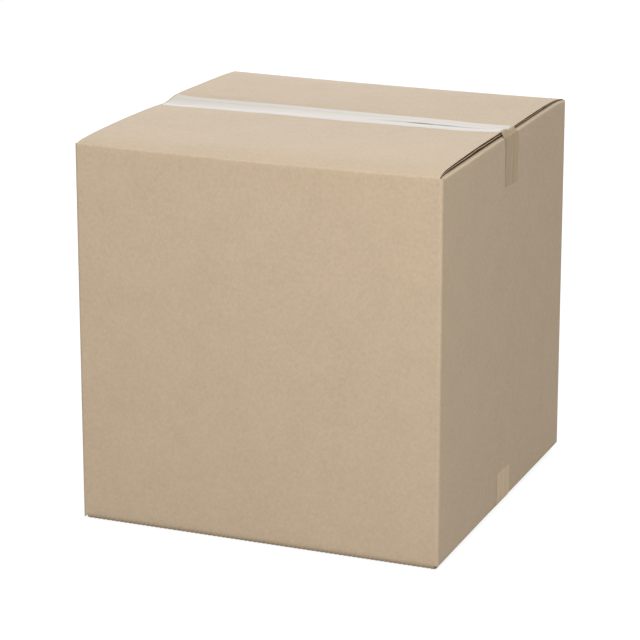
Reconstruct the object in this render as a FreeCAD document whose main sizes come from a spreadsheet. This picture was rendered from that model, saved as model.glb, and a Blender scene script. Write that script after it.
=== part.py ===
import FreeCAD, Part
import math
import os
import Sketcher

# A closed regular slotted carton of double-wall corrugated board, taped shut.
# The board is one folded blank: four walls, four inner flaps and four outer flaps.
# X runs along the front, Y towards the back and Z up, with the floor at zero.

# Driving sizes in millimetres
SIZES = {
    "inside_length": 457.0,
    "inside_width": 457.0,
    "inside_height": 457.0,
    "liner": 0.5,
    "outer_flute": 2.2,
    "inner_flute": 3.3,
    "corner_radius": 5.0,
    "inner_fold_radius": 7.0,
    "outer_fold_radius": 12.0,
    "outer_flap_inset": 3.5,
    "inner_flap_inset": 1.0,
    "flap_clearance": 0.3,
    "outer_seam": 1.5,
    "inner_seam": 3.0,
    "lap_width": 35.0,
    "channel_depth": 4.0,
    "crushed_length": 2.0,
    "film": 0.2,
    "top_tape_width": 50.0,
    "bottom_tape_width": 48.0,
    "top_tape_offset": 14.0,
    "bottom_tape_offset": 3.0,
    "top_tape_drop": 66.0,
    "bottom_tape_rise": 49.0,
    "tape_bridge": 2.0,
    "tooth_pitch": 2.5,
    "tooth_depth": 1.0,
    "tooth_flat": 0.5,
}

# Lengths that follow from the driving sizes, as expressions on the sheet
BOARD = "(3 * Sizes.liner + Sizes.outer_flute + Sizes.inner_flute)"
HALF_LENGTH = f"(Sizes.inside_length / 2 + {BOARD})"
HALF_WIDTH = f"(Sizes.inside_width / 2 + {BOARD})"
HALF_HEIGHT = f"(Sizes.inside_height / 2 + 2 * {BOARD} + Sizes.flap_clearance)"
INNER_FLAP_TOP = f"({HALF_HEIGHT} - {BOARD} - Sizes.flap_clearance)"
WALL_TOP = f"({INNER_FLAP_TOP} - Sizes.inner_fold_radius)"
FLAP_END = f"({HALF_LENGTH} - Sizes.outer_flap_inset)"

document = FreeCAD.newDocument("carton")
sheet = document.addObject("Spreadsheet::Sheet", "Sizes")
for row, (alias, size) in enumerate(SIZES.items(), start=1):
    sheet.set(f"A{row}", alias)
    sheet.set(f"B{row}", str(size))
    sheet.setAlias(f"B{row}", alias)
document.recompute()


def size_of(expression):
    """Present value of an expression on the sheet."""
    return float(sheet.evalExpression(expression))


def new_body(label, height_of_origin):
    """Empty body whose origin stands at the given height above the floor."""
    body = document.addObject("PartDesign::Body", label)
    body.Label = label
    body.setExpression("Placement.Base.z", height_of_origin)
    return body


def origin_feature(body, role):
    """The body's own origin plane or axis with this role."""
    return next(item for item in body.Origin.OriginFeatures if item.Role == role)


def new_sketch(body, name, role, offset=None):
    """Sketch on one of the body's origin planes, moved along its normal by an expression."""
    sketch = body.newObject("Sketcher::SketchObject", name)
    sketch.AttachmentSupport = [(origin_feature(body, role), "")]
    sketch.MapMode = "FlatFace"
    if offset:
        sketch.setExpression("AttachmentOffset.Base.z", offset)
    return sketch


def bind(sketch, constraint, expression):
    """Adds a dimension to the sketch and ties it to the sheet."""
    index = sketch.addConstraint(constraint)
    sketch.setExpression(f"Constraints[{index}]", expression)


def arc_between(start, end, radius):
    """Arc that turns left from start to end, with its centre on the left."""
    chord = end - start
    middle = (start + end) / 2
    rise = math.sqrt(max(radius ** 2 - (chord.Length / 2) ** 2, 0.0))
    leftwards = FreeCAD.Vector(-chord.y, chord.x, 0).normalize()
    centre = middle + leftwards * rise
    circle = Part.Circle(centre, FreeCAD.Vector(0, 0, 1), radius)
    first = math.atan2(start.y - centre.y, start.x - centre.x)
    last = math.atan2(end.y - centre.y, end.x - centre.x)
    return Part.ArcOfCircle(circle, first, last if last > first else last + 2 * math.pi)


def draw_outline(sketch, corners):
    """Closed outline, drawn anticlockwise.

    Each corner is a pair of expressions. A third item is the radius of a rounded
    stretch that starts at this corner and ends at the next one.
    """
    points = [FreeCAD.Vector(size_of(corner[0]), size_of(corner[1]), 0) for corner in corners]
    edges = []
    for index, corner in enumerate(corners):
        start = points[index]
        end = points[(index + 1) % len(points)]
        if len(corner) == 3:
            edge = arc_between(start, end, size_of(corner[2]))
        else:
            edge = Part.LineSegment(start, end)
        edges.append(sketch.addGeometry(edge, False))
    for index, corner in enumerate(corners):
        edge = edges[index]
        following = edges[(index + 1) % len(edges)]
        sketch.addConstraint(Sketcher.Constraint("Coincident", edge, 2, following, 1))
        point = points[index]
        bind(sketch, Sketcher.Constraint("DistanceX", -1, 1, edge, 1, point.x), corner[0])
        bind(sketch, Sketcher.Constraint("DistanceY", -1, 1, edge, 1, point.y), corner[1])
        if len(corner) == 3:
            bind(sketch, Sketcher.Constraint("Radius", edge, size_of(corner[2])), corner[2])


def pad_both_ways(body, name, sketch, length):
    """Extrusion of a sketch by the same amount to each side of its plane."""
    pad = body.newObject("PartDesign::Pad", name)
    pad.Profile = sketch
    pad.Midplane = True
    pad.setExpression("Length", length)
    body.Tip = pad
    return pad


def cut(body, name, sketch, length, both_ways=False):
    """Pocket of a sketch, which has to remove material from the body."""
    document.recompute()
    before = body.Shape.Volume
    pocket = body.newObject("PartDesign::Pocket", name)
    pocket.Profile = sketch
    pocket.Midplane = both_ways
    pocket.setExpression("Length", length)
    body.Tip = pocket
    document.recompute()
    if not body.Shape.Volume < before:
        raise RuntimeError(f"{name} removes nothing")
    return pocket


def mirror_across(body, name, feature, roles):
    """Repeats a feature across each of the named origin planes in turn."""
    pattern = body.newObject("PartDesign::MultiTransform", name)
    pattern.Originals = [feature]
    mirrors = []
    for role in roles:
        mirror = body.newObject("PartDesign::Mirrored", f"{name}_{role}")
        mirror.MirrorPlane = (origin_feature(body, role), [""])
        mirrors.append(mirror)
    pattern.Transformations = mirrors
    body.Tip = pattern
    document.recompute()
    return pattern


def add_walls(body):
    """Four walls with rounded corner folds, and the glued lap inside the back left corner."""
    sketch = new_sketch(body, "wall_outline", "XY_Plane")
    radius = "Sizes.corner_radius"
    inside_x = "Sizes.inside_length / 2"
    inside_y = "Sizes.inside_width / 2"
    draw_outline(sketch, [
        (f"-{HALF_LENGTH} + {radius}", f"-{HALF_WIDTH}"),
        (f"{HALF_LENGTH} - {radius}", f"-{HALF_WIDTH}", radius),
        (HALF_LENGTH, f"-{HALF_WIDTH} + {radius}"),
        (HALF_LENGTH, f"{HALF_WIDTH} - {radius}", radius),
        (f"{HALF_LENGTH} - {radius}", HALF_WIDTH),
        (f"-{HALF_LENGTH} + {radius}", HALF_WIDTH),
        (f"-{HALF_LENGTH} + {radius}", inside_y, radius),
        (f"-{HALF_LENGTH}", f"{inside_y} - {radius}"),
        (f"-{HALF_LENGTH}", f"-{HALF_WIDTH} + {radius}", radius),
    ])
    draw_outline(sketch, [
        (f"-({inside_x})", f"-({inside_y})"),
        (inside_x, f"-({inside_y})"),
        (inside_x, inside_y),
        (f"-({inside_x}) + Sizes.lap_width", inside_y),
        (f"-({inside_x}) + Sizes.lap_width", f"{inside_y} - {BOARD}"),
        (f"-({inside_x})", f"{inside_y} - {BOARD}"),
    ])
    pad_both_ways(body, "walls", sketch, f"2 * {WALL_TOP}")


def add_outer_flaps(body):
    """Front and back flaps, folded last, that meet at the taped seam at the top and bottom."""
    sketch = new_sketch(body, "outer_flap_section", "YZ_Plane")
    seam_edge = "-Sizes.outer_seam / 2"
    leg_start = f"{WALL_TOP} - Sizes.outer_fold_radius"
    draw_outline(sketch, [
        (f"-{HALF_WIDTH}", leg_start),
        ("-Sizes.inside_width / 2", leg_start),
        ("-Sizes.inside_width / 2", f"{HALF_HEIGHT} - {BOARD}"),
        (seam_edge, f"{HALF_HEIGHT} - {BOARD}"),
        (seam_edge, HALF_HEIGHT),
        (f"-{HALF_WIDTH} + Sizes.outer_fold_radius", HALF_HEIGHT, "Sizes.outer_fold_radius"),
        (f"-{HALF_WIDTH}", f"{HALF_HEIGHT} - Sizes.outer_fold_radius"),
    ])
    flap = pad_both_ways(body, "outer_flap", sketch, f"2 * {FLAP_END}")
    mirror_across(body, "outer_flaps", flap, ["XZ_Plane", "XY_Plane"])


def add_inner_flaps(body):
    """Left and right flaps, folded first, that lie just under the outer ones."""
    sketch = new_sketch(body, "inner_flap_section", "XZ_Plane")
    seam_edge = "Sizes.inner_seam / 2"
    underside = f"{INNER_FLAP_TOP} - {BOARD}"
    leg_start = f"{WALL_TOP} - Sizes.inner_fold_radius"
    draw_outline(sketch, [
        ("Sizes.inside_length / 2", leg_start),
        (HALF_LENGTH, leg_start),
        (HALF_LENGTH, WALL_TOP, "Sizes.inner_fold_radius"),
        (f"{HALF_LENGTH} - Sizes.inner_fold_radius", INNER_FLAP_TOP),
        (seam_edge, INNER_FLAP_TOP),
        (seam_edge, underside),
        ("Sizes.inside_length / 2", underside),
    ])
    flap_width = "Sizes.inside_width - 2 * Sizes.inner_flap_inset"
    flap = pad_both_ways(body, "inner_flap", sketch, flap_width)
    mirror_across(body, "inner_flaps", flap, ["YZ_Plane", "XY_Plane"])


def cut_flap_channels(body):
    """Open flutes along the cut ends of the outer flaps, with the middle liner between them."""
    sketch = new_sketch(body, "flap_channel_section", "YZ_Plane", FLAP_END)
    start = f"-{HALF_WIDTH} + Sizes.outer_fold_radius + Sizes.crushed_length"
    end = "-Sizes.outer_seam / 2"
    outer_top = f"{HALF_HEIGHT} - Sizes.liner"
    inner_bottom = f"{HALF_HEIGHT} - {BOARD} + Sizes.liner"
    for low, high in (
        (f"{outer_top} - Sizes.outer_flute", outer_top),
        (inner_bottom, f"{inner_bottom} + Sizes.inner_flute"),
    ):
        draw_outline(sketch, [(start, low), (end, low), (end, high), (start, high)])
    channels = cut(body, "flap_channels", sketch, "Sizes.channel_depth")
    mirror_across(body, "all_flap_channels", channels, ["YZ_Plane", "XZ_Plane", "XY_Plane"])


def cut_lap_channels(body):
    """Open flutes down the raw edge of the back wall, outside the glued lap."""
    sketch = new_sketch(body, "lap_channel_section", "XY_Plane")
    edge = f"-{HALF_LENGTH} + Sizes.corner_radius"
    outer_side = f"{HALF_WIDTH} - Sizes.liner"
    inner_side = "Sizes.inside_width / 2 + Sizes.liner"
    for low, high in (
        (f"{outer_side} - Sizes.outer_flute", outer_side),
        (inner_side, f"{inner_side} + Sizes.inner_flute"),
    ):
        depth_end = f"{edge} + Sizes.channel_depth"
        draw_outline(sketch, [(edge, low), (depth_end, low), (depth_end, high), (edge, high)])
    cut(body, "lap_channels", sketch, f"2 * {WALL_TOP}", both_ways=True)


def build_carton():
    """The folded blank, drawn about the middle of its height."""
    body = new_body("carton", f"Sizes.film + {HALF_HEIGHT}")
    add_walls(body)
    add_outer_flaps(body)
    add_inner_flaps(body)
    cut_flap_channels(body)
    cut_lap_channels(body)
    return body


def tape_outline(sketch, reach):
    """Tape along the flaps and down both side walls, drawn as if it lay on the top.

    The film leaves the flap's cut end, bridges the step to the side wall and lands
    just above the start of the wall's flat part.
    """
    film = "Sizes.film"
    landing = f"{WALL_TOP} + Sizes.tape_bridge"
    tip = f"{HALF_HEIGHT} - {reach}"
    draw_outline(sketch, [
        (HALF_LENGTH, tip),
        (f"{HALF_LENGTH} + {film}", tip),
        (f"{HALF_LENGTH} + {film}", landing),
        (f"{FLAP_END} + {film}", f"{HALF_HEIGHT} + {film}"),
        (f"-{FLAP_END} - {film}", f"{HALF_HEIGHT} + {film}"),
        (f"-{HALF_LENGTH} - {film}", landing),
        (f"-{HALF_LENGTH} - {film}", tip),
        (f"-{HALF_LENGTH}", tip),
        (f"-{HALF_LENGTH}", landing),
        (f"-{FLAP_END}", HALF_HEIGHT),
        (FLAP_END, HALF_HEIGHT),
        (HALF_LENGTH, landing),
    ])


def build_tape(label, width, offset, reach, upside_down):
    """Strip of clear film along a seam, with ends cut by a toothed blade."""
    body = new_body(label, f"Sizes.film + {HALF_HEIGHT}")
    body.setExpression("Placement.Base.y", offset)
    if upside_down:
        body.Placement.Rotation = FreeCAD.Rotation(FreeCAD.Vector(0, 1, 0), 180)
    profile = new_sketch(body, f"{label}_section", "XZ_Plane")
    tape_outline(profile, reach)
    pad_both_ways(body, f"{label}_strip", profile, width)

    teeth = new_sketch(body, f"{label}_notch", "YZ_Plane")
    count = f"floor({width} / Sizes.tooth_pitch)"
    first = f"-{count} * Sizes.tooth_pitch / 2 + Sizes.tooth_flat / 2"
    notch_width = "(Sizes.tooth_pitch - Sizes.tooth_flat)"
    tip = f"{HALF_HEIGHT} - {reach}"
    draw_outline(teeth, [
        (first, tip),
        (f"{first} + {notch_width}", tip),
        (f"{first} + {notch_width} / 2", f"{tip} + Sizes.tooth_depth"),
    ])
    through = f"2 * ({HALF_LENGTH} + 2 * Sizes.film)"
    notch = cut(body, f"{label}_notches", teeth, through, both_ways=True)
    row = body.newObject("PartDesign::LinearPattern", f"{label}_teeth")
    row.Originals = [notch]
    row.Direction = (origin_feature(body, "Y_Axis"), [""])
    row.setExpression("Occurrences", count)
    row.setExpression("Length", f"({count} - 1) * Sizes.tooth_pitch")
    body.Tip = row
    return body


def check_document(bodies):
    """Stops if any object failed or any piece isn't one sound solid."""
    document.recompute()
    for item in document.Objects:
        if "Invalid" in item.State or "Error" in item.State:
            raise RuntimeError(f"{item.Label} failed: {item.State}")
    for body in bodies:
        if body.Shape.isNull() or not body.Shape.isValid():
            raise RuntimeError(f"{body.Label} has no valid shape")
        if len(body.Shape.Solids) != 1:
            raise RuntimeError(f"{body.Label} has {len(body.Shape.Solids)} solids")


pieces = [
    build_carton(),
    build_tape("top_tape", "Sizes.top_tape_width", "Sizes.top_tape_offset",
               "Sizes.top_tape_drop", upside_down=False),
    build_tape("bottom_tape", "Sizes.bottom_tape_width", "Sizes.bottom_tape_offset",
               "Sizes.bottom_tape_rise", upside_down=True),
]
check_document(pieces)
os.makedirs("parts", exist_ok=True)
for piece in pieces:
    piece.Shape.exportStep(f"parts/{piece.Label}.step")
    bounds = piece.Shape.BoundBox
    print(piece.Label, "volume", round(piece.Shape.Volume), "faces", len(piece.Shape.Faces))
    print("  x", round(bounds.XMin, 3), round(bounds.XMax, 3))
    print("  y", round(bounds.YMin, 3), round(bounds.YMax, 3))
    print("  z", round(bounds.ZMin, 3), round(bounds.ZMax, 3))
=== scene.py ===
import math

import bpy
import numpy as np
from mathutils import Matrix, Vector


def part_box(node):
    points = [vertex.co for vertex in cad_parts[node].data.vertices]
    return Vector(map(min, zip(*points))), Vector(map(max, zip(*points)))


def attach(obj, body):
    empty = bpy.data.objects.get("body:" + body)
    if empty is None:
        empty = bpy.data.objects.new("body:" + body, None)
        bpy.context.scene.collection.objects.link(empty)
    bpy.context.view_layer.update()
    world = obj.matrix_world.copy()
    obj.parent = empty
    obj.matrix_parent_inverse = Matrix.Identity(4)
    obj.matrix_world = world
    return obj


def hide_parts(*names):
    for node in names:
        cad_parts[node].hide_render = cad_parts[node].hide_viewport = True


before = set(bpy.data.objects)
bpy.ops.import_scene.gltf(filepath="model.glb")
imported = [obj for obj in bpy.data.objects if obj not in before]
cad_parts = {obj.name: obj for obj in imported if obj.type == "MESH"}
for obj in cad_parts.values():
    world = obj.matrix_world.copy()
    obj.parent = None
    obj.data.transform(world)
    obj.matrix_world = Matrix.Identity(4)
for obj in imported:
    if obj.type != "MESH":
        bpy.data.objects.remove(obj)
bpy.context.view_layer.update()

# Lengths below are in millimetres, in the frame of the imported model
MM = 0.001
CARTON_LOW, CARTON_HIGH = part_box("carton")
HALF = CARTON_HIGH.x / MM
REST = CARTON_LOW.z / MM
HEIGHT = CARTON_HIGH.z / MM

# Board
BOARD = 7.0
LAYER_SHARES = (0.1, 0.4, 0.55, 0.9)
INSIDE = HALF - BOARD
CORNER_RADIUS = 4.0
INNER_CORNER = 1.0
FLAT_END = HALF - CORNER_RADIUS
INNER_FLAT_END = INSIDE - INNER_CORNER
FLAP_END = 232.0
BOTTOM_FLAP_END = 226.0
SIDE_FLAP_END = 230.5
INNER_FLAP_BOARD = 6.6
THINNEST_EDGE = 1.6
SEAM = 0.75
INNER_SEAM = 1.5
CLEARANCE = 0.3
LAP_END = -193.5
LAP_GLUE = 0.2
LAP_COLUMN = 6.0
LAP_CORNER_LOW = 222.0
LAP_CORNER_HIGH = 229.0
LEFT_LAST_COLUMN = 222.8
COLUMN = 2.0
CORNER_ANGLES = (31, 45, 59)
TOUCH = 0.01
NEAR_WALL = 0.3
FLUTE_PITCH = 6.0
POCKET_DEPTH = 4.5
SHALLOW = 0.12
LINER_WANDER = 0.035
POCKET_WANDER = 0.8
SECOND_FLUTE = 90
POCKET_FLOOR = REST + 0.3
SHARP_ANGLE = math.radians(50)
SAME_WAY = 0.9

# Folds
CREASE_STEPS = 6
CRUSHED_ROWS = CREASE_STEPS + 2
TOP_FOLD = 2.6
SIDE_TOP_FOLD = 3.2
BOTTOM_FOLD = 10.0
SIDE_BOTTOM_FOLD = 5.0
SIDE_BOTTOM = REST + BOARD + CLEARANCE
TOP_SLOT_RISE = 1.1
LAP_DROP = 7.3
# Share of the fold paling kept on the corners and on the front and back flaps' folds: partly wear, partly
# painted highlight; the side flaps' folds keep all of it
CORNER_WEAR_AND_HIGHLIGHT = 0.06
END_BEVEL = 4.5
BEVEL_LENGTH = 12.0
FOLD_SETBACK = 0.5
SIDE_FOLD_SETBACK = 0.2
ROW_SETBACK = 0.05
PUSH_SHARE = 0.7
TOP_SCALLOP = 0.12
BOTTOM_SCALLOP = 0.5
SIDE_BOTTOM_SCALLOP = 0.3

# Lean of the walls and wear of the lower corners
LEFT_SPREAD_LOW = 0.0022
LEFT_LEAN_TOP = 0.0058
BACK_SPREAD_LOW = 0.002
BACK_LEAN_TOP = 0.0098
CORNER_SHIFT = 1.6
CORNER_SQUASH = 0.3
CORNER_TUCK = 0.7
CORNER_REACH = 5
SQUASH_START = 10
SQUASH_REACH = 50
LEFT_SPREAD = 6.5
RIGHT_SPREAD = 4.0

# Rows of nodes: shares of the walls' height, and depths on the flaps
WALL_ROWS = (0, 0.012, 0.03, 0.07, 0.14, 0.24, 0.36, 0.64, 0.76, 0.86, 0.93, 0.97, 0.988, 1)
OUTER_FLAP_ROWS = (
    4.5, 6, 8, 11, 15, 20, 27, 36, 48, 62, 78, 96, 114, 132, 150, 168, 184, 198, 210, 220, 228, 232,
)
SIDE_FLAP_ROWS = (9, 16, 34, 80, 150)
BOTTOM_FLAP_ROWS = (16, 26, 44)
SIDE_BOTTOM_ROWS = (9, 16)

# Heights of the closed flaps over their depth from front to back, at the left and right ends
OUTER_LEFT = (
    (-233, 482.5), (-228, 483.4), (-220, 484.0), (-207, 484.6), (-185, 485.2), (-164, 485.4),
    (-142, 485.4), (-97, 485.2), (-75, 484.7), (-52, 484.2), (-29, 483.5), (-5, 482.2), (6.5, 481.4),
    (18, 482.1), (30.5, 483.8), (43, 485.5), (55, 486.2), (92, 485.4), (117, 484.8), (142, 484.3),
    (168, 483.6), (194, 482.7), (220, 481.4), (233, 480.4),
)
FRONT_RIGHT = (
    (-233, 482.0), (-228, 483.8), (-220, 485.4), (-211, 486.4), (-190, 487.2), (-169, 487.8),
    (-127, 488.7), (-83, 489.1), (-39, 488.9), (-15, 488.8), (0, 488.6),
)
BACK_RIGHT = (
    (0, 485.6), (15, 485.7), (30, 485.8), (54, 486.2), (78, 486.4), (102, 486.5), (151, 486.4),
    (177, 485.5), (194, 484.6), (211, 483.0), (220, 481.7), (230, 479.8), (233, 479.0),
)
INNER_LEFT = (
    (-233, 478.9), (-228, 478.9), (-207, 477.7), (-185, 477.8), (-164, 478.0), (-97, 477.9), (-75, 477.4),
    (-52, 476.9), (-29, 476.2), (-5, 474.9), (6.5, 474.1), (18, 474.8), (30.5, 476.5), (43, 478.2),
    (55, 478.9), (92, 478.1), (142, 476.9), (194, 475.6), (220, 476.2), (233, 476.4),
)
INNER_RIGHT = (
    (-233, 480.3), (-210, 480.7), (-190, 480.7), (-154, 480.8), (-123, 481.1), (-39, 481.6), (0, 481.4),
    (54, 481.2), (104, 481.4), (150, 481.5), (177, 481.5), (202, 481.0), (220, 479.7), (233, 477.4),
)
FRONT_CREST_SAG = 2.0
BACK_CREST_SAG = 1.3
CREST_START = 200
CREST_REACH = 30
DIP_REACH = 150
SEAM_DIP = ((-232, 0.0), (-150, 0.2), (-60, 1.0), (40, 2.0), (150, 2.4), (190, 2.0), (232, 0.0))

# Tapes
FILM = 0.12
FILM_GAP = 0.04
TAPE_CELLS = 36
TAPE_SHARES = [k / TAPE_CELLS for k in range(TAPE_CELLS + 1)]
TAPE_WIDTH = 50
TOOTH = 0.9
TOP_TAPE_CENTRE = (
    (-232, 21.0), (-218, 17.5), (-200, 15.0), (-150, 14.2), (-100, 13.8), (-50, 13.2),
    (0, 11.6), (50, 10.0), (100, 9.0), (150, 6.6), (190, 3.2), (232, 4.0),
)
TAPE_LANDING = 6.0
DROP_ROWS = 16
DROP_GAP = 0.11
SWING_ROWS = 12
SLANT_ROWS = 8
TOP_TIP_SLANT = 3.0
BOTTOM_TIP_SLANT = 1.4
TOP_WRINKLE = 0.5
BOTTOM_WRINKLE = 0.35
WRINKLE_START = 425
WRINKLE_REACH = 40
LOWEST_FILM = 0.05
TOP_TAPE_STEP = 6.0
BOTTOM_TAPE_STEP = 12.0
TOP_TAPE_DROP = 14.6
TOP_TAPE_HALF = 24.8
TOP_TAPE_TIP = 418.2
SEAM_LINE = 22.3
BOTTOM_TAPE_CENTRE = 3.3
BOTTOM_TAPE_HALF = 23.3
BOTTOM_TAPE_TIP = 50.2

# Lines along the tapes: distance from one edge and half width, in mm, and change of tone
TOP_LINES = ((5.0, 6.0, -0.4), (13.0, 1.5, -0.2), (31.0, 2.0, -0.2), (38.0, 2.4, -0.6))
SEAM_LINES = ((SEAM_LINE, 5.0, 1.0),)
UPPER_LINES = ((1.5, 2.0, -0.5), (24.0, 2.5, 0.4), (29.0, 1.5, -0.5), (38.0, 2.0, 0.3), (48.5, 1.2, 0.3))
LOWER_LINES = ((1.2, 1.5, 0.6), (23.0, 2.0, 0.4), (33.0, 1.5, -0.3), (48.6, 1.5, 0.6))

# Where the painted shadow of the seam starts and ends along the tape, and where it is darkest, in metres
SHADOW_START = 0.045
SHADOW_END = 0.235
SHADOW_DARKEST = 0.118

# Colours
KRAFT_LIGHT = (0.542, 0.430, 0.309, 1)
KRAFT_DARK = (0.452, 0.355, 0.252, 1)
# Paler tone at the folds: partly wear, partly painted highlight
KRAFT_WEAR_AND_HIGHLIGHT = (0.62, 0.51, 0.38, 1)
KRAFT_FLECK = (0.20, 0.14, 0.09, 1)
LINER_LIGHT = (0.62, 0.50, 0.36, 1)
LINER_DARK = (0.46, 0.36, 0.25, 1)
# Open flutes darkened far below the paper's own brown: painted shade in the pockets
FLUTE_SHADE_LIGHT = (0.17, 0.11, 0.06, 1)
FLUTE_SHADE_DARK = (0.08, 0.05, 0.025, 1)
# Whitish tone of the top tape: partly haze of the film, partly painted reflection
FILM_HAZE_REFLECTION_LIGHT = (0.535, 0.502, 0.452, 1)
FILM_HAZE_REFLECTION_DARK = (0.435, 0.403, 0.353, 1)
# Painted shadow of the seam, drawn in the top tape's colour
SEAM_SHADOW = (0.07, 0.05, 0.03, 1)
UPPER_LIGHT = (0.50, 0.39, 0.265, 1)
UPPER_DARK = (0.385, 0.295, 0.195, 1)
LOWER_LIGHT = (0.67, 0.53, 0.375, 1)
LOWER_DARK = (0.53, 0.415, 0.28, 1)
FLOOR_COLOUR = (0.37, 0.345, 0.30, 1)
FLOOR_SHADE = (0.22, 0.22, 0.22, 1)
FLOOR_GLOW = 0.86
FLOOR_SIZE = 8.0
WHITE = (1, 1, 1, 1)

# Light: lamps with their place in metres, their size and their power in watts
WORLD_LIGHT = 0.625
LAMPS = (
    ("key", (0.85, -2.3, 1.95), 1.2, 53.0),
    ("back", (-1.2, 2.6, 1.3), 1.8, 19.0),
    ("top", (-0.5, 0.7, 2.9), 1.6, 6.0),
    ("right", (1.9, -1.2, 1.1), 1.0, 3.5),
)

# Camera
AZIMUTH = math.radians(22.131)
ELEVATION = math.radians(16.929)
ROLL = math.radians(-0.058)
DISTANCE = 3.3965
SHIFT_RIGHT = -0.01154
SHIFT_UP = -0.0209
LENS = 150.45
AIM = Vector((0.0, 0.0, 0.242))
SENSOR = 36.0
FAR_CLIP = 50.0


def smooth_step(value):
    """Eases from 0 to 1."""
    value = np.clip(value, 0.0, 1.0)
    return value * value * (3 - 2 * value)


def smooth_curve(table):
    """Function through the table's points with no overshoot between them."""
    xs, ys = np.array(table, float).T
    slopes = np.diff(ys) / np.diff(xs)
    tangents = np.zeros_like(ys)
    same_way = slopes[:-1] * slopes[1:] > 0
    total = np.where(same_way, slopes[:-1] + slopes[1:], 1.0)
    tangents[1:-1] = np.where(same_way, 2 * slopes[:-1] * slopes[1:] / total, 0.0)
    tangents[0] = slopes[0]
    tangents[-1] = slopes[-1]

    def value_at(x):
        x = np.clip(x, xs[0], xs[-1])
        k = np.clip(np.searchsorted(xs, x) - 1, 0, len(xs) - 2)
        span = xs[k + 1] - xs[k]
        t = (x - xs[k]) / span
        rise = ys[k + 1] - ys[k]
        start = tangents[k] * span
        end = tangents[k + 1] * span
        return ys[k] + t * (start + t * ((3 * rise - 2 * start - end) + t * (start + end - 2 * rise)))

    return value_at


outer_left = smooth_curve(OUTER_LEFT)
front_right = smooth_curve(FRONT_RIGHT)
back_right = smooth_curve(BACK_RIGHT)
inner_left = smooth_curve(INNER_LEFT)
inner_right = smooth_curve(INNER_RIGHT)
seam_dip = smooth_curve(SEAM_DIP)
tape_centre = smooth_curve(TOP_TAPE_CENTRE)


def across(x, left, right):
    """Value between the left end's and the right end's."""
    return left + (right - left) * (x + FLAP_END) / (2 * FLAP_END)


def flap_top(x, y):
    """Height of the outer flaps' upper side."""
    right = front_right(y) if y < 0 else back_right(y)
    most = FRONT_CREST_SAG if y < 0 else BACK_CREST_SAG
    sag = most * (1 - (x / FLAP_END) ** 2) * smooth_step((abs(y) - CREST_START) / CREST_REACH)
    dip = seam_dip(x) * smooth_step((y + CREST_START) / DIP_REACH) if y < 0 else 0.0
    return float(across(x, outer_left(y), right) - sag - dip)


def flap_under(x, y):
    """Height of the inner flaps' upper side."""
    return float(across(x, inner_left(y), inner_right(y)))


def settle(point):
    """Leans the walls a little, as in the photo, and presses the lower corners down."""
    x, y, z = point
    up = min(max(z / HEIGHT, 0.0), 1.0)
    front = min(max((HALF - y) / (2 * HALF), 0.0), 1.0)
    most = LEFT_SPREAD if x < 0 else RIGHT_SPREAD
    x += most * front * (1 - smooth_step(z / BOARD)) * x / HALF
    low = 1 - smooth_step((z - SQUASH_START) / SQUASH_REACH)
    at_side = smooth_step((abs(x) - INSIDE) / CORNER_REACH)
    if x < 0:
        corner = at_side * smooth_step((-y - INSIDE) / CORNER_REACH)
        z *= 1 - CORNER_TUCK * corner * low
        x *= 1 + (LEFT_SPREAD_LOW * (1 - up) - LEFT_LEAN_TOP * up) * smooth_step(-x / HALF)
    else:
        z *= 1 - CORNER_SQUASH * front * (at_side * low)
        x -= CORNER_SHIFT * front * x / HALF
    if y > 0:
        y *= 1 + (BACK_SPREAD_LOW * (1 - up) - BACK_LEAN_TOP * up) * smooth_step(y / HALF)
    return (x, y, z)


def pocket_depth(distance):
    """Depth of the open flutes, which changes along a cut edge."""
    wander = math.sin(distance / 9.1) + math.sin(distance / 23.7 + 1.3) + math.sin(distance / 4.3 + 0.4)
    return POCKET_DEPTH + POCKET_WANDER * wander


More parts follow.
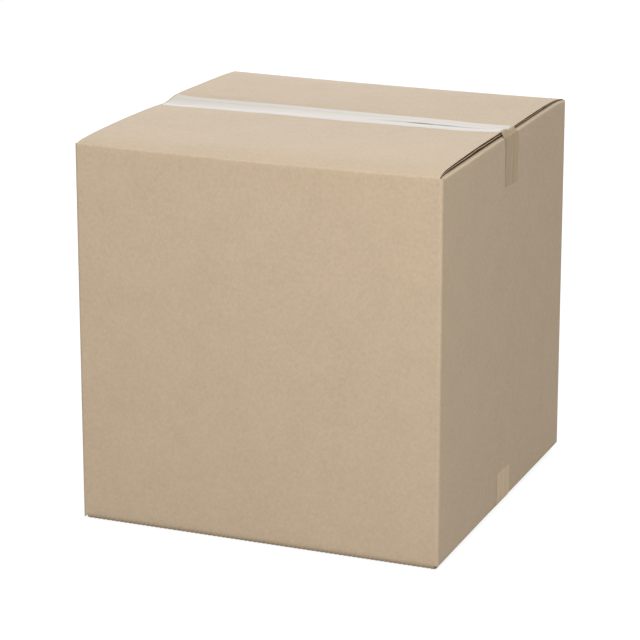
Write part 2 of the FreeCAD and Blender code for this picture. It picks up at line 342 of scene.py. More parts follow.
class Sheet:
    """Sheet with some thickness over a grid of nodes, each with an outer and an inner point."""

    def __init__(self):
        self.outer = []
        self.inner = []
        self.flat = []
        self.crease = []
        self.crushed = set()
        self.cells = []

    def add(self, outer, inner, flat, crease=0.0):
        self.outer.append(settle(outer))
        self.inner.append(settle(inner))
        self.flat.append(flat)
        self.crease.append(crease)
        return len(self.outer) - 1

    def join(self, near, far, flip=False):
        """Cells between two rows of nodes."""
        for k in range(len(near) - 1):
            cell = (near[k], near[k + 1], far[k + 1], far[k])
            self.cells.append(cell[::-1] if flip else cell)

    def rim(self):
        """Directed edges that belong to only one cell."""
        edges = set()
        for cell in self.cells:
            for k in range(4):
                edges.add((cell[k], cell[(k + 1) % 4]))
        return sorted(edge for edge in edges if (edge[1], edge[0]) not in edges)

    def inward(self, rim):
        """Direction into the sheet at each node of the rim."""
        directions = {}
        for a, b in rim:
            across_sheet = Vector(self.outer[a]) - Vector(self.inner[a])
            along = Vector(self.outer[b]) - Vector(self.outer[a])
            way = across_sheet.cross(along).normalized()
            for node in (a, b):
                directions.setdefault(node, []).append(way)
        return {node: self.mean_way(ways[0], ways[-1]) for node, ways in directions.items()}

    @staticmethod
    def mean_way(first, last):
        """Mean of two directions, shortened where the rim turns, so that no pocket breaks through."""
        return (first + last).normalized() * (1.0 if first.dot(last) > SAME_WAY else SHALLOW)

    def mesh(self, name, materials, open_flutes):
        """Closed mesh. Its cut edges are flat, or show open flutes between three liners."""
        count = len(self.outer)
        points = list(self.outer) + list(self.inner)
        faces = []
        kinds = []
        for cell in self.cells:
            faces.append(cell)
            faces.append(tuple(node + count for node in reversed(cell)))
            kinds += [0, 0]
        rim = self.rim()
        inward = self.inward(rim)
        chains = {}
        for node in inward:
            chains[node] = [node, node + count]
            if open_flutes:
                chains[node] = self.flute_chain(node, inward[node], points)
        for a, b in rim:
            shut = a in self.crushed and b in self.crushed
            for k in range(len(chains[a]) - 1):
                faces.append((chains[b][k], chains[a][k], chains[a][k + 1], chains[b][k + 1]))
                kinds.append(1 if k in (0, 4, 8) or shut else 2)
        mesh = bpy.data.meshes.new(name)
        mesh.from_pydata([Vector(point) * MM for point in points], [], faces)
        for material in materials:
            mesh.materials.append(material)
        if open_flutes:
            mesh.polygons.foreach_set("material_index", kinds)
        self.write_layers(mesh, points)
        mesh.polygons.foreach_set("use_smooth", [True] * len(faces))
        mesh.set_sharp_from_angle(angle=SHARP_ANGLE)
        mesh.update()
        return mesh

    def flute_chain(self, node, way, points):
        """Points from the outer to the inner side of the rim, in and out of the open flutes."""
        outer = Vector(self.outer[node])
        inner = Vector(self.inner[node])
        way = way * (SHALLOW if node in self.crushed else 1.0)
        chain = [node]
        place = outer.x + outer.y + outer.z
        wander = math.sin(place / 2.9) + math.sin(place / 5.3 + 1.0) + math.sin(place / 13.1 + 2.0)
        shares = list(LAYER_SHARES)
        shares[1] += LINER_WANDER * wander
        shares[2] += LINER_WANDER * (wander + 0.5 * math.sin(place / 1.7))
        for near, far, offset in ((shares[0], shares[1], 0), (shares[2], shares[3], SECOND_FLUTE)):
            depth = pocket_depth(outer.x + outer.y + offset)
            for share, sunk in zip((near, near, far, far), (0, 1, 1, 0)):
                points.append(self.pocket_point(outer.lerp(inner, share) + way * depth * sunk))
                chain.append(len(points) - 1)
        chain.append(node + len(self.outer))
        return chain

    @staticmethod
    def pocket_point(point):
        """Point of an open flute, kept above the floor."""
        return (point.x, point.y, max(point.z, POCKET_FLOOR))

    def write_layers(self, mesh, points):
        """Stores the flat position in the blank, in metres, and how near a fold is."""
        count = len(self.outer)
        flat = np.zeros((len(points), 2))
        crease = np.zeros(len(points))
        flat[:count] = np.array(self.flat) * MM
        flat[count:2 * count] = np.array(self.flat) * MM
        crease[:count] = self.crease
        loops = np.zeros(len(mesh.loops), int)
        mesh.loops.foreach_get("vertex_index", loops)
        layer = mesh.uv_layers.new(name="blank")
        layer.data.foreach_set("uv", flat[loops].ravel())
        attribute = mesh.attributes.new("crease", "FLOAT", "POINT")
        attribute.data.foreach_set("value", crease)


def spread(start, end, step):
    """Evenly spaced values from start to end, both included."""
    count = max(int(round(abs(end - start) / step)), 1)
    return [start + (end - start) * k / count for k in range(count + 1)]


def wall_plan():
    """Columns of the walls, seen from above, from the end of the lap round to the raw edge.

    Each is an outer point, an inner point, the panel's name, the distance along the panel and
    how near the corner fold is.
    """
    columns = []
    lap_y = INSIDE - LAP_GLUE
    for x in spread(LAP_END, -FLAT_END, LAP_COLUMN)[:-1]:
        share = (x - LAP_END) / (-FLAT_END - LAP_END)
        inner_x = LAP_END + (-INNER_FLAT_END - LAP_END) * share
        columns.append(((x, lap_y), (inner_x, lap_y - BOARD), "lap", x, 0.0))
    left_end = lap_y - CORNER_RADIUS
    inner_left_end = lap_y - BOARD - INNER_CORNER
    add_corner(columns, (-FLAT_END, left_end), (-INNER_FLAT_END, inner_left_end), 90)
    side_columns = spread(-SIDE_FLAP_END, SIDE_FLAP_END, COLUMN)
    for y in [LEFT_LAST_COLUMN] + [y for y in reversed(side_columns) if y < LAP_CORNER_LOW]:
        share = (y + FLAT_END) / (left_end + FLAT_END)
        inner_y = -INNER_FLAT_END + (inner_left_end + INNER_FLAT_END) * share
        columns.append(((-HALF, y), (-INSIDE, inner_y), "left", y, 0.0))
    add_corner(columns, (-FLAT_END, -FLAT_END), (-INNER_FLAT_END, -INNER_FLAT_END), 180)
    scale = INNER_FLAT_END / FLAT_END
    for x in spread(-FLAT_END, FLAT_END, COLUMN)[1:-1]:
        columns.append(((x, -HALF), (x * scale, -INSIDE), "front", x, 0.0))
    add_corner(columns, (FLAT_END, -FLAT_END), (INNER_FLAT_END, -INNER_FLAT_END), 270)
    for y in side_columns:
        columns.append(((HALF, y), (INSIDE, y * scale), "right", y, 0.0))
    add_corner(columns, (FLAT_END, FLAT_END), (INNER_FLAT_END, INNER_FLAT_END), 0)
    for x in spread(FLAT_END, -FLAT_END, COLUMN)[1:]:
        share = (FLAT_END - x) / (2 * FLAT_END)
        inner_x = INNER_FLAT_END - (INNER_FLAT_END + FLAT_END) * share
        columns.append(((x, HALF), (inner_x, INSIDE), "back", x, 0.0))
    return columns


def add_corner(columns, centre, inner_centre, first_angle):
    """Rounded vertical fold of a quarter turn."""
    flap_angle = math.degrees(math.asin((FLAP_END - FLAT_END) / CORNER_RADIUS))
    angles = (0, flap_angle, *CORNER_ANGLES, 90 - flap_angle, 90)
    for angle in angles:
        turn = math.radians(first_angle + angle)
        way = (math.cos(turn), math.sin(turn))
        outer = (centre[0] + CORNER_RADIUS * way[0], centre[1] + CORNER_RADIUS * way[1])
        inner = (inner_centre[0] + INNER_CORNER * way[0], inner_centre[1] + INNER_CORNER * way[1])
        # Paling of the corner fold: partly wear, partly painted highlight
        nearness = CORNER_WEAR_AND_HIGHLIGHT * math.sin(math.radians(2 * angle)) ** 2
        columns.append((outer, inner, "corner", angle, nearness))


def on_flap(column):
    """True for a column that runs on into a front or back flap."""
    x, y = column[0]
    return abs(x) < FLAP_END + TOUCH and abs(y) > HALF - NEAR_WALL


def on_lap(column):
    """True for a column of the glued lap or of its corner fold."""
    (x, y), panel = column[0], column[2]
    return panel == "lap" or (panel == "corner" and x < 0 and LAP_CORNER_LOW < y < LAP_CORNER_HIGH)


def top_row_height(column):
    """Height at which the flap starts to fold, or at which a slot ends."""
    (x, y), panel = column[0], column[2]
    end = math.copysign(FLAP_END, x)
    if on_lap(column):
        return flap_under(-FLAP_END, y) - LAP_DROP
    if panel in ("left", "right"):
        return flap_under(end, y) - SIDE_TOP_FOLD
    height = flap_top(max(min(x, FLAP_END), -FLAP_END), math.copysign(HALF - TOP_FOLD, y)) - TOP_FOLD
    return height if on_flap(column) else height + TOP_SLOT_RISE


def bottom_row_height(column):
    """Height at which the bottom flap starts to fold, or at which a slot ends."""
    if on_lap(column):
        return SIDE_BOTTOM + LAP_DROP
    if column[2] in ("left", "right"):
        return SIDE_BOTTOM + SIDE_BOTTOM_FOLD
    return REST + BOTTOM_FOLD


def add_walls(sheet, columns):
    """Rows of nodes round the four walls and the lap, from the bottom up."""
    rows = []
    distance = 0.0
    distances = []
    previous = columns[0][0]
    for column in columns:
        distance += math.dist(previous, column[0])
        distances.append(distance)
        previous = column[0]
    for share in WALL_ROWS:
        row = []
        for column, along in zip(columns, distances):
            low = bottom_row_height(column)
            z = low + (top_row_height(column) - low) * share
            outer, inner = column[0], column[1]
            row.append(sheet.add((*outer, z), (*inner, z), (along, z), column[4]))
        rows.append(row)
    for low_row, high_row in zip(rows, rows[1:]):
        sheet.join(low_row, high_row)
    return rows, distances


def crease_rows(radius):
    """Depths and rises, as shares, of the rows round a fold."""
    rows = []
    for step in range(1, CREASE_STEPS + 1):
        angle = math.radians(90 * step / CREASE_STEPS)
        rows.append((radius * (1 - math.cos(angle)), math.sin(angle), math.sin(2 * angle)))
    return rows


def outer_top_flap(x, sign):
    """Profile of a front or back top flap: outer and inner depth and height, and nearness of the fold."""
    profile = []
    fold_end = flap_top(x, sign * (HALF - TOP_FOLD))
    start = fold_end - TOP_FOLD
    for depth, share, near in crease_rows(TOP_FOLD):
        under = flap_under(x, sign * (INSIDE - FOLD_SETBACK)) + CLEARANCE
        inner_height = start + (under - start) * share
        inner_depth = BOARD + FOLD_SETBACK * share
        profile.append((depth, start + TOP_FOLD * share, inner_depth, inner_height, near))
    for k, depth in enumerate(OUTER_FLAP_ROWS + (HALF - SEAM,)):
        inner_depth = max(depth, BOARD + FOLD_SETBACK + ROW_SETBACK * (k + 1))
        height = flap_top(x, sign * (HALF - depth))
        under = flap_under(x, sign * (HALF - inner_depth)) + CLEARANCE
        profile.append((depth, height, inner_depth, min(under, height - THINNEST_EDGE), 0.0))
    return profile


def side_top_flap(y, sign):
    """Profile of a left or right top flap."""
    profile = []
    fold_end = flap_under(sign * FLAP_END, y)
    start = fold_end - SIDE_TOP_FOLD
    for depth, share, near in crease_rows(SIDE_TOP_FOLD):
        inner_height = start + (fold_end - INNER_FLAP_BOARD - start) * share
        inner_depth = BOARD + SIDE_FOLD_SETBACK * share
        profile.append((depth, start + SIDE_TOP_FOLD * share, inner_depth, inner_height, near))
    for depth in SIDE_FLAP_ROWS + (HALF - INNER_SEAM,):
        height = flap_under(sign * (HALF - depth), y)
        profile.append((depth, height, depth, height - INNER_FLAP_BOARD, 0.0))
    return profile


def outer_bottom_flap():
    """Profile of a front or back bottom flap, which lies on the floor."""
    profile = []
    for depth, share, near in crease_rows(BOTTOM_FOLD):
        inner_depth = BOARD + (BOTTOM_FOLD - BOARD) * depth / BOTTOM_FOLD
        inner_height = REST + BOTTOM_FOLD - (BOTTOM_FOLD - BOARD) * share
        profile.append((depth, REST + BOTTOM_FOLD * (1 - share), inner_depth, inner_height, near))
    for depth in BOTTOM_FLAP_ROWS + (HALF - SEAM,):
        profile.append((depth, REST, depth, REST + BOARD, 0.0))
    return profile


def side_bottom_flap():
    """Profile of a left or right bottom flap."""
    profile = []
    for depth, share, near in crease_rows(SIDE_BOTTOM_FOLD):
        height = SIDE_BOTTOM + SIDE_BOTTOM_FOLD * (1 - share)
        rise = INNER_FLAP_BOARD - SIDE_BOTTOM_FOLD
        inner_height = SIDE_BOTTOM + SIDE_BOTTOM_FOLD + rise * share
        profile.append((depth, height, BOARD + SIDE_FOLD_SETBACK * share, inner_height, near))
    for depth in SIDE_BOTTOM_ROWS + (HALF - INNER_SEAM,):
        profile.append((depth, SIDE_BOTTOM, depth, SIDE_BOTTOM + INNER_FLAP_BOARD, 0.0))
    return profile


def scallop(along, near, amount):
    """Push of the outer liner over the flute tips at a fold."""
    return amount * near * math.cos(2 * math.pi * along / FLUTE_PITCH)


def add_flap(sheet, hinge, places, distances, profile_at, place_point, upside_down, amount):
    """Rows of a flap that starts at the hinge nodes of the wall."""
    last_place = max(abs(place) for place in places)
    outer_flap = last_place > SIDE_FLAP_END + 1
    # Fold paling, partly wear and partly painted highlight, is weaker on the front and back flaps
    fold_paleness = CORNER_WEAR_AND_HIGHLIGHT if outer_flap else 1.0
    profiles = [profile_at(place) for place in places]
    previous = hinge
    for k in range(len(profiles[0])):
        row = []
        for profile, place, along in zip(profiles, places, distances):
            depth, height, inner_depth, inner_height, near = profile[k]
            push = PUSH_SHARE * scallop(along, near, amount)
            level = height + (-push if upside_down else push)
            inner_place = place
            if upside_down and outer_flap:
                bent = min(1 - (height - REST) / BOTTOM_FOLD, 1.0)
                at_end = smooth_step((abs(place) - last_place) / BEVEL_LENGTH + 1)
                bevel = END_BEVEL * at_end * (k < CREASE_STEPS)
                place = place * (1 - (1 - BOTTOM_FLAP_END / last_place) * bent)
                inner_place = place - math.copysign(bevel, place)
            outer = place_point(place, depth - push, level)
            inner = place_point(inner_place, inner_depth, inner_height)
            row.append(sheet.add(outer, inner, (along, HEIGHT + depth), near * fold_paleness))
        sheet.join(previous, row, flip=upside_down)
        if upside_down and k < CRUSHED_ROWS:
            sheet.crushed.update(previous + row)
        previous = row


def build_carton(materials):
    """The folded blank as one closed sheet."""
    sheet = Sheet()
    columns = wall_plan()
    rows, distances = add_walls(sheet, columns)
    sheet.crushed.update(rows[0])
    for panel, sign in (("left", -1), ("front", -1), ("right", 1), ("back", 1)):
        if panel in ("front", "back"):
            chosen = [k for k, column in enumerate(columns) if on_flap(column) and column[0][1] * sign > 0]
            places = [columns[k][0][0] for k in chosen]
            point = lambda x, depth, z, sign=sign: (x, sign * (HALF - depth), z)
            top = lambda x, sign=sign: outer_top_flap(x, sign)
            bottom = lambda x: outer_bottom_flap()
            amount = BOTTOM_SCALLOP
        else:
            chosen = [
                k for k, column in enumerate(columns)
                if column[2] == panel and abs(column[3]) < SIDE_FLAP_END + TOUCH
            ]
            places = [columns[k][0][1] for k in chosen]
            point = lambda y, depth, z, sign=sign: (sign * (HALF - depth), y, z)
            top = lambda y, sign=sign: side_top_flap(y, sign)
            bottom = lambda y: side_bottom_flap()
            amount = SIDE_BOTTOM_SCALLOP
        along = [distances[k] for k in chosen]
        hinge = [rows[-1][k] for k in chosen]
        add_flap(sheet, hinge, places, along, top, point, False, TOP_SCALLOP)
        hinge = [rows[0][k] for k in chosen]
        add_flap(sheet, hinge, places, along, bottom, point, True, amount)
    return sheet.mesh("carton_blank", materials, open_flutes=True)


def wrinkle(y, z, seed):
    """Height of the small folds in a tape end, always above the wall."""
    wave = math.sin(y * 0.93 + seed + 0.012 * z) + 0.7 * math.sin(y * 1.71 + 2.1 * seed - 0.02 * z)
    return 0.5 + 0.25 * wave + 0.1 * math.sin(z * 0.21 + y * 0.4 + seed)


def tape_height(x, y):
    """Height of the top tape's underside, which bridges the step at the seam."""
    if y < -SEAM or y > TAPE_LANDING:
        return flap_top(x, y)
    share = smooth_step((y + SEAM) / (TAPE_LANDING + SEAM))
    bridge = flap_top(x, -SEAM) * (1 - share) + flap_top(x, TAPE_LANDING) * share
    return max(float(bridge), flap_top(x, max(y, SEAM)) + 0.02)


def top_tape_path(y, sign):
    """Points of one drop, from the tip up to the flap, as x and z before wrinkles."""
    side = flap_under(sign * FLAP_END, y)
    top = tape_height(sign * (FLAP_END - 0.5), y)
    start = side - SIDE_TOP_FOLD - 1
    points = [(HALF, start + (TOP_TAPE_TIP - start) * (1 - k / DROP_ROWS)) for k in range(DROP_ROWS + 1)]
    low_x, low_z = HALF - 0.35, side - 2.6
    high_x, high_z = FLAP_END + 0.25, top - 0.8
    points.append((HALF, start + 2.0))
    for share in (0, 0.25, 0.5, 0.75, 1):
        points.append((low_x + (high_x - low_x) * share, low_z + (high_z - low_z) * share))
    points.append((FLAP_END - 0.15, top - 0.1))
    return points


def build_top_tape(materials):
    """Film over the top seam and down both side walls."""
    sheet = Sheet()
    stations = []
    drops = {sign: len(top_tape_path(0, sign)) for sign in (-1, 1)}
    for k in range(drops[-1]):
        stations.append(("drop", -1, k))
    for x in spread(-FLAP_END + 2.5, FLAP_END - 2.5, TOP_TAPE_STEP):
        stations.append(("top", x, 0))
    for k in reversed(range(drops[1])):
        stations.append(("drop", 1, k))
    rows = []
    for kind, value, k in stations:
        row = []
        for share in TAPE_SHARES:
            where = value if kind == "top" else value * FLAP_END
            y = float(tape_centre(where)) + (2 * share - 1) * TOP_TAPE_HALF
            if kind == "top":
                z = tape_height(value, y)
                outer, inner = (value, y, z + FILM_GAP + FILM), (value, y, z + FILM_GAP)
            else:
                swing = TOP_TAPE_DROP - float(tape_centre(FLAP_END)) if value > 0 else 0.0
                y += swing * float(smooth_step((drops[value] - k) / SWING_ROWS))
                x, z = top_tape_path(y, value)[k]
                tooth = TOOTH * (round(share * TAPE_CELLS) % 2) if k == 0 else 0.0
                slant = TOP_TIP_SLANT * share if value > 0 and k < SLANT_ROWS else 0.0
                z += tooth - slant * (1 - k / SLANT_ROWS)
                height = TOP_WRINKLE * smooth_step((z - WRINKLE_START) / WRINKLE_REACH)
                lift = DROP_GAP + height * wrinkle(y, z, value)
                outer = (value * (x + lift + FILM), y, z)
                inner = (value * (x + lift), y, z)
            row.append(sheet.add(outer, inner, (share * TAPE_WIDTH, 0), 0.0))
        rows.append(row)
    for near, far in zip(rows, rows[1:]):
        sheet.join(near, far)
    mesh = sheet.mesh("top_tape_film", materials, open_flutes=False)
    for polygon in mesh.polygons:
        polygon.material_index = 1 if abs(polygon.center.x) > (FLAP_END - 4) * MM else 0
    return mesh


def build_bottom_tape(materials):
    """Film under the bottom seam and up both side walls."""
    sheet = Sheet()
    path = []
    for z in spread(BOTTOM_TAPE_TIP, SIDE_BOTTOM + SIDE_BOTTOM_FOLD + 1, 4.0):
        path.append((HALF, z))
    path += [
        (HALF - 0.2, SIDE_BOTTOM + 3.4), (HALF - 1.2, SIDE_BOTTOM + 1.5), (HALF - 3.0, SIDE_BOTTOM + 0.3),
        (BOTTOM_FLAP_END + 1.2, REST + 3.0), (BOTTOM_FLAP_END + 0.2, REST + 0.2),
    ]
    rows = []
    stations = [(-x, z) for x, z in path]
    stations += [(x, None) for x in spread(-BOTTOM_FLAP_END + 2, BOTTOM_FLAP_END - 2, BOTTOM_TAPE_STEP)]
    stations += list(reversed(path))
    for x, z in stations:
        row = []
        for share in TAPE_SHARES:
            y = BOTTOM_TAPE_CENTRE + (1 - 2 * share) * BOTTOM_TAPE_HALF
            if z is None:
                outer, inner = (x, y, FILM_GAP), (x, y, FILM_GAP + FILM)
                row.append(sheet.add(outer, inner, (share * TAPE_WIDTH, 0), 0.0))
                continue
            sign = math.copysign(1.0, x)
            level = z
            if z == BOTTOM_TAPE_TIP:
                level += TOOTH * (round(share * TAPE_CELLS) % 2) + BOTTOM_TIP_SLANT * (share - 0.5)
            lift = 0.08 + (BOTTOM_WRINKLE * wrinkle(y, z, 3 * sign) if abs(x) >= HALF - TOUCH else 0.1)
            outer = (sign * (abs(x) + lift + FILM), y, max(level - 0.1, LOWEST_FILM))
            inner = (sign * (abs(x) + lift), y, max(level, LOWEST_FILM + FILM))
            row.append(sheet.add(outer, inner, (share * TAPE_WIDTH, 0), 0.0))
        rows.append(row)
    for near, far in zip(rows, rows[1:]):
        sheet.join(near, far)
    return sheet.mesh("bottom_tape_film", materials, open_flutes=False)


class Nodes:
    """Short way to build a node material."""

    def __init__(self, name):
        self.material = bpy.data.materials.new(name)
        self.material.use_nodes = True
        self.tree = self.material.node_tree
        self.shader = self.tree.nodes["Principled BSDF"]

    def add(self, kind, **inputs):
        node = self.tree.nodes.new(kind)
        for key, value in inputs.items():
            self.put(node, key.replace("_", " "), value)
        return node

    def put(self, node, key, value):
        socket = node.inputs[int(key)] if key.isdigit() else node.inputs[key]
        if isinstance(value, bpy.types.NodeSocket):
            self.tree.links.new(value, socket)
        else:
            socket.default_value = value

    def maths(self, operation, *values):
        node = self.tree.nodes.new("ShaderNodeMath")
        node.operation = operation
        for k, value in enumerate(values):
            self.put(node, str(k), value)
        return node.outputs[0]

    def noise(self, scale, detail, stretch=(1, 1, 1)):
        """Noise over the object's own coordinates, centred on zero."""
        place = self.add("ShaderNodeTexCoord").outputs["Object"]
        mapping = self.add("ShaderNodeMapping", Vector=place, Scale=stretch)
        node = self.add("ShaderNodeTexNoise", Vector=mapping.outputs[0], Scale=scale, Detail=detail)
        return self.maths("SUBTRACT", node.outputs[0], 0.5)

    def mix(self, share, first, second):
        node = self.tree.nodes.new("ShaderNodeMix")
        node.data_type = "RGBA"
        for index, value in ((0, share), (6, first), (7, second)):
            if isinstance(value, bpy.types.NodeSocket):
                self.tree.links.new(value, node.inputs[index])
            else:
                node.inputs[index].default_value = value
        return node.outputs[2]

    def bump(self, height, strength, distance):
        node = self.add("ShaderNodeBump", Height=height, Strength=strength, Distance=distance)
        self.put(self.shader, "Normal", node.outputs[0])


def clear_share(nodes, value):
    """Value kept between 0 and 1."""
    return nodes.maths("MINIMUM", nodes.maths("MAXIMUM", value, 0.0), 1.0)


def paper_tone(nodes, light, dark, mottle, fibre):
    """Paper colour that drifts between two tones in blotches and fine fibres."""
    blotches = nodes.noise(22, 3)
    grain = nodes.noise(240, 4)
    fibres = nodes.noise(700, 3, (1, 1, 0.3))
    share = nodes.maths("MULTIPLY_ADD", blotches, mottle, 0.5)
    share = nodes.maths("MULTIPLY_ADD", grain, fibre, share)
    share = nodes.maths("MULTIPLY_ADD", fibres, fibre, share)
    return nodes.mix(clear_share(nodes, share), dark, light)


def kraft_material():
    """Outer liner of the board: brown kraft paper, paler where it is creased: partly wear, partly painted
    highlight along the folds.
    """
    nodes = Nodes("kraft_liner")
    tone = paper_tone(nodes, KRAFT_LIGHT, KRAFT_DARK, 0.5, 1.2)
    crease = nodes.add("ShaderNodeAttribute")
    crease.attribute_name = "crease"
    # Folds paled: partly wear, partly painted highlight
    wear_and_highlight_share = nodes.maths("MULTIPLY", crease.outputs["Fac"], 0.5)
    tone = nodes.mix(wear_and_highlight_share, tone, KRAFT_WEAR_AND_HIGHLIGHT)
    fleck = clear_share(nodes, nodes.maths("MULTIPLY_ADD", nodes.noise(430, 2), 14.0, -2.9))
    speck = nodes.maths("MULTIPLY", fleck, 0.35)
    tone = nodes.mix(speck, tone, KRAFT_FLECK)
    nodes.put(nodes.shader, "Base Color", tone)
    nodes.put(nodes.shader, "Roughness", nodes.maths("MULTIPLY_ADD", nodes.noise(90, 2), 0.12, 0.62))
    nodes.put(nodes.shader, "Specular IOR Level", 0.15)
    blank = nodes.add("ShaderNodeUVMap")
    blank.uv_map = "blank"
    along = nodes.add("ShaderNodeSeparateXYZ", Vector=blank.outputs[0]).outputs[0]
    ribs = nodes.maths("SINE", nodes.maths("MULTIPLY", along, 2 * math.pi / (FLUTE_PITCH * MM)))
    height = nodes.maths("MULTIPLY_ADD", ribs, 0.12, nodes.noise(420, 3))
    nodes.bump(height, 0.25, 0.0003)
    return nodes.material


def edge_material(name, light, dark):
    """Raw paper seen where the board is cut, in the two tones given; the open flutes' tones are darkened
    with painted shade.
    """
    nodes = Nodes(name)
    nodes.put(nodes.shader, "Base Color", paper_tone(nodes, light, dark, 0.6, 1.6))
    nodes.put(nodes.shader, "Roughness", 0.8)
    nodes.put(nodes.shader, "Specular IOR Level", 0.05)
    nodes.bump(nodes.noise(500, 3), 0.4, 0.0004)
    return nodes.material


def width_lines(nodes, lines):
    """Sum of soft lines that run along the tape, each at a place across its width, in mm."""
    band = nodes.add("ShaderNodeUVMap")
    band.uv_map = "blank"
    across_width = nodes.add("ShaderNodeSeparateXYZ", Vector=band.outputs[0]).outputs[0]
    total = 0.0
    for place, width, amount in lines:
        away = nodes.maths("ABSOLUTE", nodes.maths("SUBTRACT", across_width, place * MM))
        near = nodes.maths("SUBTRACT", 1.0, nodes.maths("DIVIDE", away, width * MM))
        near = nodes.maths("MAXIMUM", near, 0.0)
        total = nodes.maths("MULTIPLY_ADD", near, amount, total)
    return total


def top_film_material():
    """Clear tape drawn opaque, whitish where it bridges the flaps: partly haze, partly painted reflection;
    the seam's shadow under it is painted shadow.
    """
    nodes = Nodes("tape_film")
    streaks = nodes.noise(50, 3, (0.2, 7, 0.2))
    lines = width_lines(nodes, TOP_LINES)
    share = clear_share(nodes, nodes.maths("MULTIPLY_ADD", streaks, 0.9, nodes.maths("ADD", lines, 0.55)))
    # Film tone: partly haze, partly painted reflection
    tone = nodes.mix(share, FILM_HAZE_REFLECTION_DARK, FILM_HAZE_REFLECTION_LIGHT)
    seam = width_lines(nodes, SEAM_LINES)
    place = nodes.add("ShaderNodeTexCoord").outputs["Object"]
    along = nodes.add("ShaderNodeSeparateXYZ", Vector=place).outputs[0]
    rise = nodes.maths("MULTIPLY", nodes.maths("SUBTRACT", along, SHADOW_START), 10.0)
    fall = nodes.maths("MULTIPLY", nodes.maths("SUBTRACT", SHADOW_END, along), 14.0)
    reach = clear_share(nodes, nodes.maths("MINIMUM", rise, fall))
    away = nodes.maths("ABSOLUTE", nodes.maths("SUBTRACT", along, SHADOW_DARKEST))
    gap = clear_share(nodes, nodes.maths("MULTIPLY_ADD", away, -45.0, 1.0))
    uneven = nodes.maths("MULTIPLY_ADD", nodes.noise(38, 2, (1, 0.1, 0.1)), 1.2, 0.95)
    uneven = nodes.maths("MULTIPLY_ADD", gap, 1.2, uneven)
    shadow = clear_share(nodes, nodes.maths("MULTIPLY", nodes.maths("MULTIPLY", seam, reach), uneven))
    # Painted shadow of the seam mixed into the film's colour
    nodes.put(nodes.shader, "Base Color", nodes.mix(shadow, tone, SEAM_SHADOW))
    nodes.put(nodes.shader, "Roughness", nodes.maths("MULTIPLY_ADD", streaks, 0.2, 0.45))
    nodes.put(nodes.shader, "Specular IOR Level", 0.18)
    nodes.bump(nodes.noise(35, 2, (0.4, 3, 0.4)), 0.2, 0.0006)
    return nodes.material


def pressed_film_material(name, dark, light, lines):
    """Clear tape pressed onto the board: the kraft shows through, with fine lengthwise folds."""
    nodes = Nodes(name)
    streaks = nodes.noise(110, 3, (0.4, 5, 0.25))
    lines = width_lines(nodes, lines)
    share = clear_share(nodes, nodes.maths("MULTIPLY_ADD", streaks, 1.6, nodes.maths("ADD", lines, 0.45)))
    nodes.put(nodes.shader, "Base Color", nodes.mix(share, dark, light))
    nodes.put(nodes.shader, "Roughness", nodes.maths("MULTIPLY_ADD", streaks, 0.2, 0.5))
    nodes.put(nodes.shader, "Specular IOR Level", 0.05)
    nodes.bump(nodes.noise(60, 2, (0.4, 4, 0.25)), 0.25, 0.0006)
    return nodes.material


def add_piece(mesh, node):
    """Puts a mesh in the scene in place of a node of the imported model."""
    piece = bpy.data.objects.new(mesh.name, mesh)
    bpy.context.scene.collection.objects.link(piece)
    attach(piece, "root")
    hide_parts(node)
    return piece


def build_floor():
    """Pale floor that looks white and keeps a soft shadow."""
    size = FLOOR_SIZE
    mesh = bpy.data.meshes.new("floor")
    corners = [(-size, -size, 0), (size, -size, 0), (size, size, 0), (-size, size, 0)]
    mesh.from_pydata(corners, [], [(0, 1, 2, 3)])
    floor = bpy.data.objects.new("floor", mesh)
    bpy.context.scene.collection.objects.link(floor)
    nodes = Nodes("pale_floor")
    nodes.put(nodes.shader, "Base Color", FLOOR_COLOUR)
    nodes.put(nodes.shader, "Roughness", 1.0)
    nodes.put(nodes.shader, "Specular IOR Level", 0.0)
    rays = nodes.add("ShaderNodeLightPath")
    seen = nodes.maths("MAXIMUM", rays.outputs["Is Camera Ray"], rays.outputs["Is Glossy Ray"])
    seen = nodes.maths("MAXIMUM", seen, rays.outputs["Is Transmission Ray"])
    glow = nodes.add("ShaderNodeEmission", Color=WHITE, Strength=FLOOR_GLOW)
    shade = nodes.add("ShaderNodeBsdfDiffuse", Color=FLOOR_SHADE)
    both = nodes.tree.nodes.new("ShaderNodeAddShader")
    nodes.tree.links.new(glow.outputs[0], both.inputs[0])
    nodes.tree.links.new(shade.outputs[0], both.inputs[1])
    choice = nodes.tree.nodes.new("ShaderNodeMixShader")
    nodes.tree.links.new(seen, choice.inputs[0])
    nodes.tree.links.new(nodes.shader.outputs[0], choice.inputs[1])
    nodes.tree.links.new(both.outputs[0], choice.inputs[2])
    nodes.tree.links.new(choice.outputs[0], nodes.tree.nodes["Material Output"].inputs[0])
    mesh.materials.append(nodes.material)


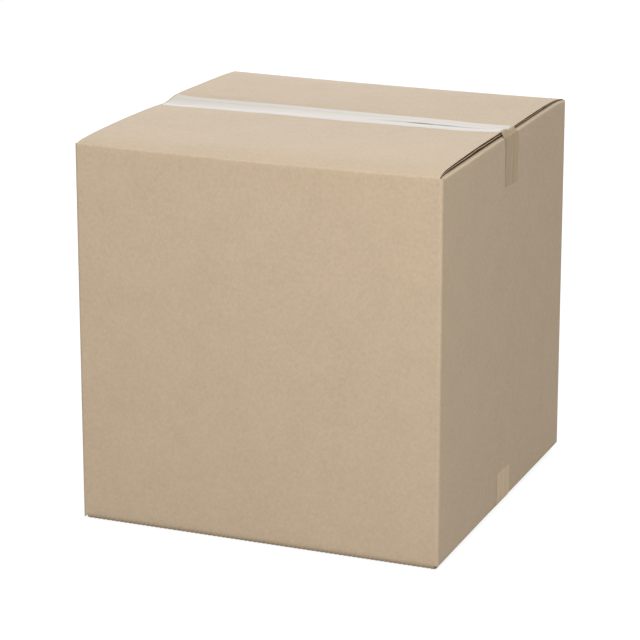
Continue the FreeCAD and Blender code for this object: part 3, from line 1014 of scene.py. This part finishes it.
def build_world():
    """Even pale surroundings, seen as white."""
    world = bpy.data.worlds.new("surroundings")
    bpy.context.scene.world = world
    world.use_nodes = True
    tree = world.node_tree
    background = tree.nodes["Background"]
    background.inputs["Color"].default_value = WHITE
    rays = tree.nodes.new("ShaderNodeLightPath")
    seen = tree.nodes.new("ShaderNodeMath")
    seen.operation = "MAXIMUM"
    tree.links.new(rays.outputs["Is Camera Ray"], seen.inputs[0])
    tree.links.new(rays.outputs["Is Glossy Ray"], seen.inputs[1])
    strength = tree.nodes.new("ShaderNodeMapRange")
    tree.links.new(seen.outputs[0], strength.inputs["Value"])
    strength.inputs["To Min"].default_value = WORLD_LIGHT
    strength.inputs["To Max"].default_value = 1.0
    tree.links.new(strength.outputs[0], background.inputs["Strength"])


def build_lamps():
    """Large soft lamps aimed at the middle of the carton."""
    for name, place, size, power in LAMPS:
        data = bpy.data.lights.new(name, "AREA")
        data.shape = "DISK"
        data.size = size
        data.energy = power
        lamp = bpy.data.objects.new(name, data)
        lamp.location = place
        lamp.rotation_euler = (AIM - Vector(place)).to_track_quat("-Z", "Y").to_euler()
        bpy.context.scene.collection.objects.link(lamp)


def build_camera():
    """Camera at the photograph's angle."""
    back = Vector((
        math.sin(AZIMUTH) * math.cos(ELEVATION),
        -math.cos(AZIMUTH) * math.cos(ELEVATION),
        math.sin(ELEVATION),
    ))
    right = Vector((math.cos(AZIMUTH), math.sin(AZIMUTH), 0.0))
    up = back.cross(right)
    place = AIM + back * DISTANCE + right * SHIFT_RIGHT + up * SHIFT_UP
    rolled_right = right * math.cos(ROLL) + up * math.sin(ROLL)
    rolled_up = up * math.cos(ROLL) - right * math.sin(ROLL)
    data = bpy.data.cameras.new("camera")
    data.lens = LENS
    data.sensor_width = SENSOR
    data.clip_end = FAR_CLIP
    camera = bpy.data.objects.new("camera", data)
    turn = Matrix((rolled_right, rolled_up, back)).transposed()
    camera.matrix_world = Matrix.Translation(place) @ turn.to_4x4()
    bpy.context.scene.collection.objects.link(camera)
    bpy.context.scene.camera = camera


kraft = kraft_material()
raw_edge = edge_material("cut_liner", LINER_LIGHT, LINER_DARK)
# Material of the open flutes, darkened with painted shade
shaded_flute = edge_material("shaded_open_flute", FLUTE_SHADE_LIGHT, FLUTE_SHADE_DARK)
film = top_film_material()
upper_drop = pressed_film_material("upper_drop", UPPER_DARK, UPPER_LIGHT, UPPER_LINES)
lower_drop = pressed_film_material("lower_drop", LOWER_DARK, LOWER_LIGHT, LOWER_LINES)
add_piece(build_carton([kraft, raw_edge, shaded_flute]), "carton")
add_piece(build_top_tape([film, upper_drop]), "top_tape")
add_piece(build_bottom_tape([lower_drop]), "bottom_tape")
build_floor()
build_world()
build_lamps()
build_camera()
bpy.context.scene.view_settings.view_transform = "Standard"
